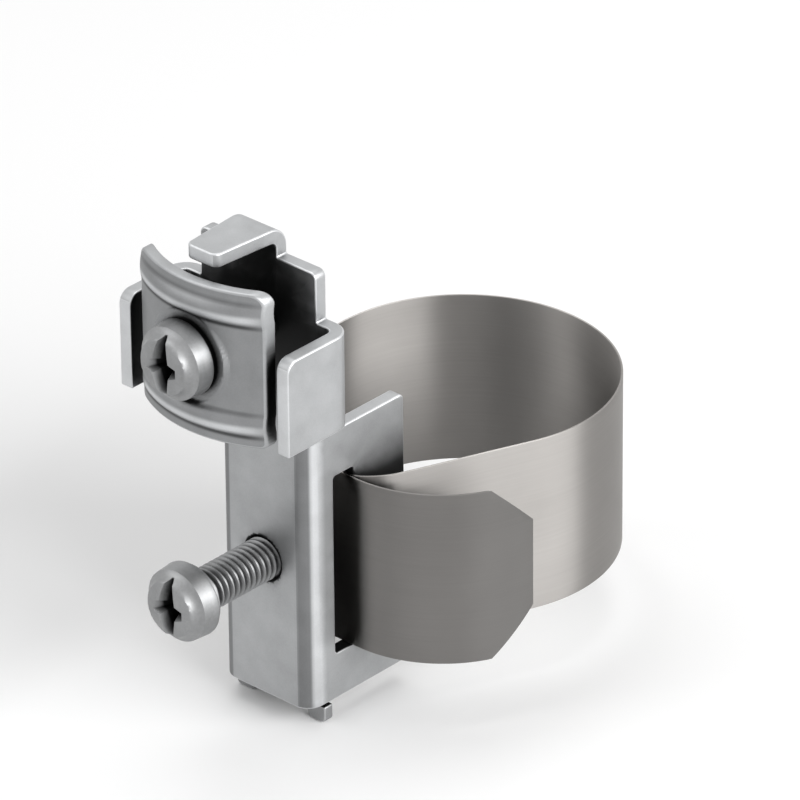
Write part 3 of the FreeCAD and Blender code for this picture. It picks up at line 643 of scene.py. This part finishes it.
def makeSaddle(s):
    radius = ((s["wide"] / 2) ** 2 + s["rise"] ** 2) / (2 * s["rise"])
    centreY = radius - s["crown"]

    def beadAt(angle, z, width):     # height of the beads over the arch
        crest = radius - s["beadShift"] + s["beadHigh"]
        shift = s["beadShift"]
        top = (shift * math.cos(angle) - radius
               + math.sqrt(crest ** 2 - (shift * math.sin(angle)) ** 2))
        away = min(abs(z - s["beadOffset"]), abs(z + s["beadOffset"])) / (width / 2)
        foot, end = s["beadFoot"], s["beadEnd"]
        dome = 1 - away * away if away < foot else (
            (1 - foot ** 2) * ((end - min(away, end)) / (end - foot)) ** 2)
        return max(top, 0.0) * dome

    def point(x, z, depth):          # depth behind the front face
        angle = math.asin(min(max(x / radius, -0.95), 0.95))
        share = depth / s["steel"]
        bead = beadAt(angle, z, s["beadWide"]) * (1 - share) \
            + beadAt(angle, z, s["beadWide"] * s["backWide"]) * s["backShare"] * share
        r = radius + bead - depth
        place = Vector((x, 0, z + s["level"]))
        place.y = centreY - math.sqrt(max(r * r - x * x, 0.0))
        seatY = -(s["crown"] - s["seatSink"]) + depth
        mix = 1 - smoothStep(math.hypot(x, z), s["seat"], s["seat"] + s["seatBlend"])
        place.y = place.y * (1 - mix) + seatY * mix
        return place * mm

    edge = s["edge"]
    half, top = s["wide"] / 2 - edge, s["high"] / 2 - edge
    corners = {1: s["topCorner"] - edge, -1: s["lowCorner"] - edge}
    levels = []                      # heights of the rows, with their share of each corner's turn
    bends = s["cornerRows"]
    for k in range(bends):
        levels.append((-top + corners[-1] * (1 - math.cos(math.pi / 2 * k / bends)),
                       -1, math.pi / 2 * (1 - k / bends)))
    inner = (-top + corners[-1], top - corners[1])
    for k in range(s["rows"] + 1):
        levels.append((inner[0] + (inner[1] - inner[0]) * k / s["rows"], 0, 0.0))
    for k in range(1, bends + 1):
        levels.append((top - corners[1] * (1 - math.sin(math.pi / 2 * k / bends)), 1,
                       math.pi / 2 * k / bends))
    vertices, faces, columns = [], [], s["columns"]
    rowEnds = []
    for z, side, turn in levels:
        r = corners.get(side, 0.0)
        if side == -1:
            z, x = -top + r - r * math.sin(turn), half - r + r * math.cos(turn)
        elif side == 1:
            z, x = top - r + r * math.sin(turn), half - r + r * math.cos(turn)
        else:
            x = half
        rowEnds.append((x, z, side, turn))
    rows = len(rowEnds)

    def grid(depth):
        base = len(vertices)
        for x, z, _, _ in rowEnds:
            for k in range(columns + 1):
                vertices.append(point(x * (2 * k / columns - 1), z, depth))
        return base

    def loopOf(base):                # the grid's rim, anticlockwise seen from the front
        rim = [base + k for k in range(columns + 1)]
        rim += [base + j * (columns + 1) + columns for j in range(1, rows)]
        rim += [base + (rows - 1) * (columns + 1) + k for k in range(columns - 1, -1, -1)]
        rim += [base + j * (columns + 1) for j in range(rows - 2, 0, -1)]
        return rim

    front = grid(0.0)
    rear = grid(s["steel"])
    for j in range(rows - 1):
        for k in range(columns):
            a = j * (columns + 1) + k
            b, c, d = a + 1, a + columns + 2, a + columns + 1
            faces.append((front + a, front + b, front + c, front + d))
            faces.append((rear + d, rear + c, rear + b, rear + a))
    plain = len(faces)
    # where each rim point lies, and which way is outwards there
    rim = []
    for k in range(columns + 1):
        x, z = rowEnds[0][0] * (2 * k / columns - 1), rowEnds[0][1]
        rim.append((x, z, 0.0, -1.0))
    for j in range(1, rows):
        x, z, side, turn = rowEnds[j]
        rim.append((x, z, math.cos(turn), side * math.sin(turn)))
    for k in range(columns - 1, -1, -1):
        x, z = rowEnds[-1][0] * (2 * k / columns - 1), rowEnds[-1][1]
        rim.append((x, z, 0.0, 1.0))
    for j in range(rows - 2, 0, -1):
        x, z, side, turn = rowEnds[j]
        rim.append((-x, z, -math.cos(turn), side * math.sin(turn)))
    steps = []
    for k in range(1, s["rimRows"] + 1):     # round the front edge, then the rear one
        angle = math.pi / 2 * k / s["rimRows"]
        steps.append((edge * math.sin(angle), edge * (1 - math.cos(angle))))
    steps += [(out, s["steel"] - depth) for out, depth in reversed(steps)]
    before = loopOf(front)
    count = len(before)
    for out, depth in steps:
        base = len(vertices)
        for x, z, nx, nz in rim:
            vertices.append(point(x + nx * out, z + nz * out, depth))
        ring = [base + k for k in range(count)]
        for k in range(count):
            n = (k + 1) % count
            faces.append((before[n], before[k], ring[k], ring[n]))
        before = ring
    last = loopOf(rear)
    for k in range(count):
        n = (k + 1) % count
        faces.append((before[n], before[k], last[k], last[n]))
    mesh = meshFrom("clampingSaddle", vertices, faces, [sheetSteel["saddle"], sheetEdgeHighlight["saddle"]])
    for face in mesh.polygons[plain:]:       # painted highlight: the sheared rim takes the lighter edge colour
        face.material_index = 1
    plate = newObject("saddleScratch", mesh)
    drill = bpy.data.meshes.new("drill")
    tool = bmesh.new()
    bmesh.ops.create_cone(tool, cap_ends=True, segments=s["holeSides"], radius1=s["hole"] * mm,
                          radius2=s["hole"] * mm, depth=20 * mm)
    tool.transform(Matrix.Translation((0, -s["crown"] * mm, s["level"] * mm))
                   @ Matrix.Rotation(math.pi / 2, 4, "X"))
    tool.to_mesh(drill)
    tool.free()
    bit = newObject("drill", drill)
    cut = plate.modifiers.new("Hole", "BOOLEAN")
    cut.object, cut.operation, cut.solver = bit, "DIFFERENCE", "EXACT"
    done = finishedMesh(plate)
    bpy.data.objects.remove(bit)
    done.name = "clampingSaddle"
    crest, crease = [], []
    crestAt, creaseAt = s["crestLine"], s["creaseLine"]
    for v in done.vertices:          # painted highlight on a bead's crest and painted shade at its foot
        x, z = v.co.x / mm, v.co.z / mm - s["level"]
        angle = math.asin(min(max(x / radius, -0.95), 0.95))
        height = beadAt(angle, s["beadOffset"], s["beadWide"]) / s["beadHigh"]
        facing = smoothStep(-v.normal.y, 0.2, 0.5) * smoothStep(height, 0.0, 0.6)
        away = min((z - s["beadOffset"], z + s["beadOffset"]), key=abs) / (s["beadWide"] / 2)
        crest.append(facing * (1 - smoothStep(abs(away - crestAt[0]), *crestAt[1:])))
        lower = 1 - smoothStep(abs(away + creaseAt[0]), *creaseAt[1:])
        upper = 1 - smoothStep(abs(away - creaseAt[0]), *creaseAt[1:])
        crease.append(facing * max(lower, s["upperCrease"] * upper))
    valueLayer(done, "crest", crest)
    valueLayer(done, "crease", crease)
    return smoothed(done, s["smooth"])


saddleMesh = makeSaddle(saddle)
pieceFromMesh("clampingSaddle", saddleMesh, "saddle", ["clamping_saddle"])
print("saddle formed")


# Screws: a head with a star recess, and a rolled thread

screwHead = {
    "neckWide": 9.4, "neckHigh": 0.6, "flankRoot": 10.6, "flankTop": 10.2, "flankHigh": 3.3,
    "underEdge": 0.25, "shoulderBend": 2.4, "shoulderHigh": 4.8, "shoulderWide": 7.8,
    "headHigh": 5.4,
    # the recess
    "long": 7.3, "point": 0.25, "arm": 2.75, "armHalf": 0.65, "core": 1.45, "coreUp": 1.1,
    "deep": 2.8, "floorShare": 0.3, "lip": 0.1,
    "wallRows": ((0.0, 1.0), (0.3, 1.0), (0.5, 1.0), (0.62, 0.08)),  # height on the wall, shade
    "cornerTurn": 4, "cornerStep": 0.45,     # degrees and length between points of its outline
    "domeRows": 14, "crownSteps": 40, "shoulderSteps": 16, "smooth": 38,
    "flankRows": (0.9, 1.8),         # how far below the flank's top
    "neckFlare": 0.12, "neckStep": 0.1, "seatHole": 3.4,
    "sink": 0.3,                     # the shank starts inside the head
}
thread = {
    "major": 3.0, "minor": 2.42, "pitch": 1.0, "tip": 2.25, "around": 48, "rows": 10,
    "slope": 1.55, "crestFlat": 0.32, "rootSoft": 0.08,
}
screws = {
    "tension_screw": {"name": "tensionScrew", "body": "tension_screw", "level": 0.4,
                      "face": 52.4, "length": 16.0, "turned": 0.0},
    "terminal_screw": {"name": "terminalScrew", "body": "terminal_screw", "level": 36.4,
                       "face": 52.5, "length": 20.0, "turned": 0.0},
}


def arcPoints(start, end, radius, count):    # from start to end, bulging to the right of the chord
    (x0, y0), (x1, y1) = start, end
    chord = math.hypot(x1 - x0, y1 - y0)
    reach = math.sqrt(radius ** 2 - chord ** 2 / 4)
    cx = (x0 + x1) / 2 - (y1 - y0) / chord * reach
    cy = (y0 + y1) / 2 + (x1 - x0) / chord * reach
    a0, a1 = math.atan2(y0 - cy, x0 - cx), math.atan2(y1 - cy, x1 - cx)
    return [(cx + radius * math.cos(a0 + (a1 - a0) * k / count),
             cy + radius * math.sin(a0 + (a1 - a0) * k / count)) for k in range(1, count + 1)]


def headMesh(h):                     # points are (height over the seat, x, z)
    crown = h["headHigh"] - h["shoulderHigh"]
    crownRadius = ((h["shoulderWide"] / 2) ** 2 + crown ** 2) / (2 * crown)
    # the dome's half section as (height, radius), from its middle to the flank
    dome = []
    for k in range(h["crownSteps"] + 1):
        r = h["shoulderWide"] / 2 * k / h["crownSteps"]
        dome.append((h["headHigh"] - crownRadius + math.sqrt(crownRadius ** 2 - r * r), r))
    bend = arcPoints((h["flankHigh"], h["flankTop"] / 2),
                     (h["shoulderHigh"], h["shoulderWide"] / 2), h["shoulderBend"],
                     h["shoulderSteps"])
    dome += list(reversed(bend[:-1])) + [(h["flankHigh"], h["flankTop"] / 2)]
    outline = [(h["arm"], h["armHalf"]), (h["core"], h["coreUp"]), (h["point"], h["long"]),
               (-h["point"], h["long"]), (-h["core"], h["coreUp"]), (-h["arm"], h["armHalf"])]
    outline += [(-x, -z) for x, z in outline]
    corners = []
    for k, (x, z) in enumerate(outline):     # extra points where a long side turns quickly
        nx, nz = outline[(k + 1) % len(outline)]
        turn = (math.atan2(nz, nx) - math.atan2(z, x) + math.pi) % (2 * math.pi) - math.pi
        pieces = max(1, math.ceil(abs(turn) / math.radians(h["cornerTurn"])),
                     math.ceil(math.hypot(nx - x, nz - z) / h["cornerStep"]))
        for p in range(pieces):
            corners.append((x + (nx - x) * p / pieces, z + (nz - z) * p / pieces))

    def wall(x, z, share):           # a point on the recess wall, 0 at its floor and 1 at the crown
        scale = h["floorShare"] + (1 - h["floorShare"]) * share
        return h["headHigh"] - h["deep"] * (1 - share), x * scale, z * scale

    def crossing(x, z):              # where the wall above (x, z) meets the dome
        low, high = 0.0, 1.0
        for _ in range(40):
            middle = (low + high) / 2
            height, wx, wz = wall(x, z, middle)
            if domeHeight(math.hypot(wx, wz)) > height:
                low = middle
            else:
                high = middle
        return low

    def domeHeight(r):
        for (h0, r0), (h1, r1) in zip(dome, dome[1:]):
            if r <= r1:
                return h0 + (h1 - h0) * (r - r0) / (r1 - r0)
        return -1.0

    def domeLong():                  # length along the dome's section up to each of its points
        lengths = [0.0]
        for (h0, r0), (h1, r1) in zip(dome, dome[1:]):
            lengths.append(lengths[-1] + math.hypot(h1 - h0, r1 - r0))
        return lengths

    lengths = domeLong()

    def domeAt(length):
        for k in range(1, len(dome)):
            if length <= lengths[k] or k == len(dome) - 1:
                t = min(1.0, (length - lengths[k - 1]) / (lengths[k] - lengths[k - 1]))
                return (dome[k - 1][0] + (dome[k][0] - dome[k - 1][0]) * t,
                        dome[k - 1][1] + (dome[k][1] - dome[k - 1][1]) * t)

    def lengthAt(r):
        for k in range(1, len(dome)):
            if r <= dome[k][1]:
                t = (r - dome[k - 1][1]) / (dome[k][1] - dome[k - 1][1])
                return lengths[k - 1] + (lengths[k] - lengths[k - 1]) * t

    edge = h["underEdge"]
    root = h["neckHigh"]
    slope = (h["flankRoot"] - h["flankTop"]) / 2 / (h["flankHigh"] - root)
    tail = [(h["flankHigh"] - down, h["flankTop"] / 2 + slope * down) for down in h["flankRows"]]
    tail += [(root + edge * (1 - math.sin(a)), h["flankRoot"] / 2 - edge * (1 - math.cos(a)))
             for a in [math.pi / 2 * k / 4 for k in range(5)]]
    neck = h["neckWide"] / 2
    tail += [(root, neck + h["neckFlare"]), (root - h["neckStep"], neck), (0.0, neck),
             (0.0, h["seatHole"])]
    columns = []
    lipShare = h["lip"] / h["deep"]
    for x, z in corners:
        share = crossing(x, z)
        height, wx, wz = wall(x, z, share)
        r = math.hypot(wx, wz)
        ux, uz = wx / r, wz / r
        column = [wall(x, z, share * up) for up, _ in h["wallRows"]]
        column.append(wall(x, z, max(share - lipShare, 0.0)))
        start = lengthAt(r)
        inner = wall(x, z, share - lipShare * 0.3)
        outerHeight, outerRadius = domeAt(start + h["lip"] * 0.3)
        column.append(((inner[0] + outerHeight) / 2, (inner[1] + ux * outerRadius) / 2,
                       (inner[2] + uz * outerRadius) / 2))
        begin = start + h["lip"]
        steps = h["domeRows"]
        for k in range(steps + 1):
            height, radius = domeAt(begin + (lengths[-1] - begin) * k / steps)
            column.append((height, ux * radius, uz * radius))
        for height, radius in tail:
            column.append((height, ux * radius, uz * radius))
        columns.append(column)
    vertices, faces, recess = [], [], []
    count, deep = len(columns), len(columns[0])
    shades = [shade for _, shade in h["wallRows"]]
    for column in columns:
        vertices += column
        recess += shades + [0.0] * (deep - len(shades))
    floor = len(vertices)
    vertices.append((h["headHigh"] - h["deep"], 0.0, 0.0))
    bottom = len(vertices)
    vertices.append((0.0, 0.0, 0.0))
    recess += [1.0, 0.0]
    for k in range(count):
        n = (k + 1) % count
        for j in range(deep - 1):
            faces.append((k * deep + j, k * deep + j + 1, n * deep + j + 1, n * deep + j))
        faces.append((floor, k * deep, n * deep))
        faces.append((bottom, n * deep + deep - 1, k * deep + deep - 1))
    return vertices, faces, recess


def threadTree(t):                   # rows of points follow the helix, for crisp crests
    group, tree = newGroup("rolledThread", {
        "Geometry": "Geometry", "Length": "Float", "Pitch": "Float", "Major radius": "Float",
        "Minor radius": "Float", "Tip radius": "Float", "Points round": "Int",
        "Rows a turn": "Int", "Finish": "Material"})
    given = tree.add("NodeGroupInput")
    turns = (given.other("Length") / given.other("Pitch")).whole() + 4.0
    rows = turns * given.other("Rows a turn") + 1.0
    sheet = tree.add("GeometryNodeMeshGrid", {
        "Size X": 1.0, "Size Y": 1.0, "Vertices X": given.other("Points round") + 1.0,
        "Vertices Y": rows})
    spot = tree.add("ShaderNodeSeparateXYZ", {"Vector": tree.add("GeometryNodeInputPosition")})
    around = spot + 0.5                                      # 0 to 1 round the shank
    helix = (spot.other("Y") + 0.5) * turns - 2.0            # turns along the helix
    along = (helix + around) * given.other("Pitch")
    phase = helix.maths("FRACT", helix + 100.0)
    flank = (abs(phase - 0.5) * 2.0 * t["slope"] - t["crestFlat"]).atLeast(0.0).atMost(1.0)
    flank = flank.maths("SMOOTH_MIN", flank, 1.0, t["rootSoft"])
    radius = given.other("Major radius") - flank * (given.other("Major radius")
                                                    - given.other("Minor radius"))
    radius = radius.atMost(given.other("Tip radius") + (given.other("Length") - along).atLeast(0.0))
    inside = along.above(0.0)
    radius = radius * inside + given.other("Minor radius") * (1.0 - inside)
    along = along.atLeast(0.0).atMost(given.other("Length"))
    angle = around * (2 * math.pi)
    rolled = tree.add("ShaderNodeCombineXYZ", {
        "X": angle.maths("SINE", angle) * radius, "Y": along,
        "Z": angle.maths("COSINE", angle) * radius})
    shank = tree.add("GeometryNodeSetPosition", {"Geometry": sheet, "Position": rolled})
    ends = []
    for size, place in ((given.other("Minor radius"), 0.0),
                        (given.other("Tip radius"), given.other("Length"))):
        disc = tree.add("GeometryNodeMeshCircle", {
            "Vertices": given.other("Points round"), "Radius": size}, fill_type="NGON")
        shift = tree.add("ShaderNodeCombineXYZ", {"Y": place})
        ends.append(tree.add("GeometryNodeTransform", {
            "Geometry": disc, "Translation": shift, "Rotation": (math.pi / 2, math.pi / 2, 0.0)}))
    joined = tree.add("GeometryNodeJoinGeometry")
    for part in ends + [shank]:
        tree.links.new(part.socket, joined.socket.node.inputs[0])
    closed = tree.add("GeometryNodeMergeByDistance", {
        "Geometry": joined, "Distance": rounding["merge"] * mm})
    closed = tree.add("GeometryNodeRealizeInstances", {"Geometry": closed})
    closed = tree.add("GeometryNodeSetMaterial", {"Geometry": closed,
                                                  "Material": given.other("Finish")})
    tree.add("NodeGroupOutput", {"Geometry": closed})
    return group


threadGroup = threadTree(thread)


def makeScrew(s):
    scratch = newObject("threadScratch", bpy.data.meshes.new("empty"))
    roll = scratch.modifiers.new("Thread", "NODES")
    roll.node_group = threadGroup
    sink = screwHead["sink"]
    setInputs(roll, {
        "Length": (s["length"] + sink) * mm, "Pitch": thread["pitch"] * mm,
        "Major radius": thread["major"] * mm, "Minor radius": thread["minor"] * mm,
        "Tip radius": thread["tip"] * mm, "Points round": thread["around"],
        "Rows a turn": thread["rows"], "Finish": screwSteel})
    shank = finishedMesh(scratch)
    shank.transform(Matrix.Translation((0, -(s["face"] + sink) * mm, s["level"] * mm)))
    vertices, faces, recess = headMesh(screwHead)
    turn = math.radians(s["turned"])
    placed = []
    for height, x, z in vertices:
        placed.append(((x * math.cos(turn) + z * math.sin(turn)) * mm,
                       -(s["face"] + height) * mm,
                       (s["level"] + z * math.cos(turn) - x * math.sin(turn)) * mm))
    head = meshFrom("screwHead", placed, faces, [screwSteel])
    both = bmesh.new()
    both.from_mesh(head)
    bmesh.ops.recalc_face_normals(both, faces=both.faces)
    other = bmesh.new()
    other.from_mesh(shank)
    bmesh.ops.recalc_face_normals(other, faces=other.faces)
    other.to_mesh(shank)
    other.free()
    both.from_mesh(shank)
    mesh = bpy.data.meshes.new(s["name"])
    both.to_mesh(mesh)
    both.free()
    mesh.materials.append(screwSteel)
    valueLayer(mesh, "recess", recess + [0.0] * (len(mesh.vertices) - len(recess)))
    return smoothed(mesh, screwHead["smooth"])


for node, s in screws.items():
    pieceFromMesh(s["name"], makeScrew(s), s["body"], [node])
    print("screw rolled:", s["name"])


# How open each point lies: the hollows get painted shade

openness = {
    "reach": 28.0, "rays": 44, "lift": 0.03,
    "near": 0.4,                     # what a wall at the end of the reach still lets in
}


def openDirections(count):           # evenly spread over a half sphere, thicker towards its pole
    golden = math.pi * (3 - math.sqrt(5))
    spread = []
    for k in range(count):
        up = math.sqrt(1 - (k + 0.5) / count)
        flat = math.sqrt(1 - up * up)
        spread.append((flat * math.cos(golden * k), flat * math.sin(golden * k), up))
    return spread


def measureOpenness(pieces, o):
    vertices, faces = [], []
    for piece in pieces:
        start = len(vertices)
        vertices += [v.co.copy() for v in piece.data.vertices]
        faces += [[start + v for v in face.vertices] for face in piece.data.polygons]
    walls = BVHTree.FromPolygons(vertices, faces)
    spread = [Vector(d) for d in openDirections(o["rays"])]
    for piece in pieces:
        values = []
        for v in piece.data.vertices:
            turn = v.normal.to_track_quat("Z", "Y").to_matrix()
            start = v.co + v.normal * o["lift"] * mm
            total = 0.0
            for direction in spread:
                distance = walls.ray_cast(start, turn @ direction, o["reach"] * mm)[3]
                total += 1.0 if distance is None else o["near"] * distance / (o["reach"] * mm)
            values.append(total / len(spread))
        valueLayer(piece.data, "openness", values)


measureOpenness(madePieces, openness)
print("openness measured")


# Floor, light and camera

studio = {
    "floorDrop": 0.0233, "floorColour": 0.95, "floorHalf": 3.0,
    "world": 0.36,
    "lamps": {
        "side": {"place": (1.0, 0.12, 0.46), "size": (1.25, 0.5), "power": 14.5},
        "top": {"place": (-0.3, 0.15, 1.2), "size": (1.0, 1.0), "power": 5.5},
        "front": {"place": (-0.75, -0.95, 0.8), "size": (0.7, 0.7), "power": 3.2},
    },
}

floorMaterial, tree = newMaterial("paleFloor")
matt = tree.add("ShaderNodeBsdfDiffuse", {"Color": grey(studio["floorColour"])})
tree.add("ShaderNodeOutputMaterial", {"Surface": matt})
half, floorLevel = studio["floorHalf"], -studio["floorDrop"]
floor = newObject("floor", meshFrom("floor", [
    (-half, -half, floorLevel), (half, -half, floorLevel), (half, half, floorLevel),
    (-half, half, floorLevel)], [(0, 1, 2, 3)], [floorMaterial]))

world = bpy.data.worlds.new("studioWorld")
bpy.context.scene.world = world
world.use_nodes = True
tree = NodeTree(world.node_tree)
path = tree.add("ShaderNodeLightPath")
seen = path.atLeast(path.other("Is Glossy Ray")).atLeast(path.other("Is Transmission Ray"))
sky = tree.add("ShaderNodeBackground", {"Color": grey(1.0), "Strength": studio["world"]})
backdrop = tree.add("ShaderNodeBackground", {"Color": grey(1.0), "Strength": 1.0})
mixed = tree.add("ShaderNodeMixShader", {"Fac": seen, 1: sky, 2: backdrop})
tree.add("ShaderNodeOutputWorld", {"Surface": mixed})

for label, lamp in studio["lamps"].items():
    data = bpy.data.lights.new(label, "AREA")
    data.shape, data.energy = "RECTANGLE", lamp["power"]
    data.size, data.size_y = lamp["size"]
    light = newObject(label, data)
    light.location = lamp["place"]
    light.rotation_euler = (-Vector(lamp["place"])).to_track_quat("-Z", "Y").to_euler()

camera = {
    "place": (0.64402, -0.71240, 0.54416), "azimuth": 42.114, "elevation": 28.911, "roll": -0.301,
    "lens": 368.95, "shift": (-0.0781, -0.0492),
}
cameraData = bpy.data.cameras.new("camera")
cameraData.lens, cameraData.sensor_width = camera["lens"], 36.0
cameraData.shift_x, cameraData.shift_y = camera["shift"]
cameraData.clip_start, cameraData.clip_end = 0.05, 20.0
cameraObject = newObject("camera", cameraData)
azimuth, elevation = math.radians(camera["azimuth"]), math.radians(camera["elevation"])
towards = Vector((-math.sin(azimuth) * math.cos(elevation), math.cos(azimuth) * math.cos(elevation),
                  -math.sin(elevation)))
aim = towards.to_track_quat("-Z", "Y").to_matrix().to_4x4()
cameraObject.matrix_world = (Matrix.Translation(camera["place"]) @ aim
                             @ Matrix.Rotation(math.radians(camera["roll"]), 4, "Z"))
bpy.context.scene.camera = cameraObject
bpy.context.scene.view_settings.view_transform = "Standard"
print("studio set")

bpy.context.view_layer.update()
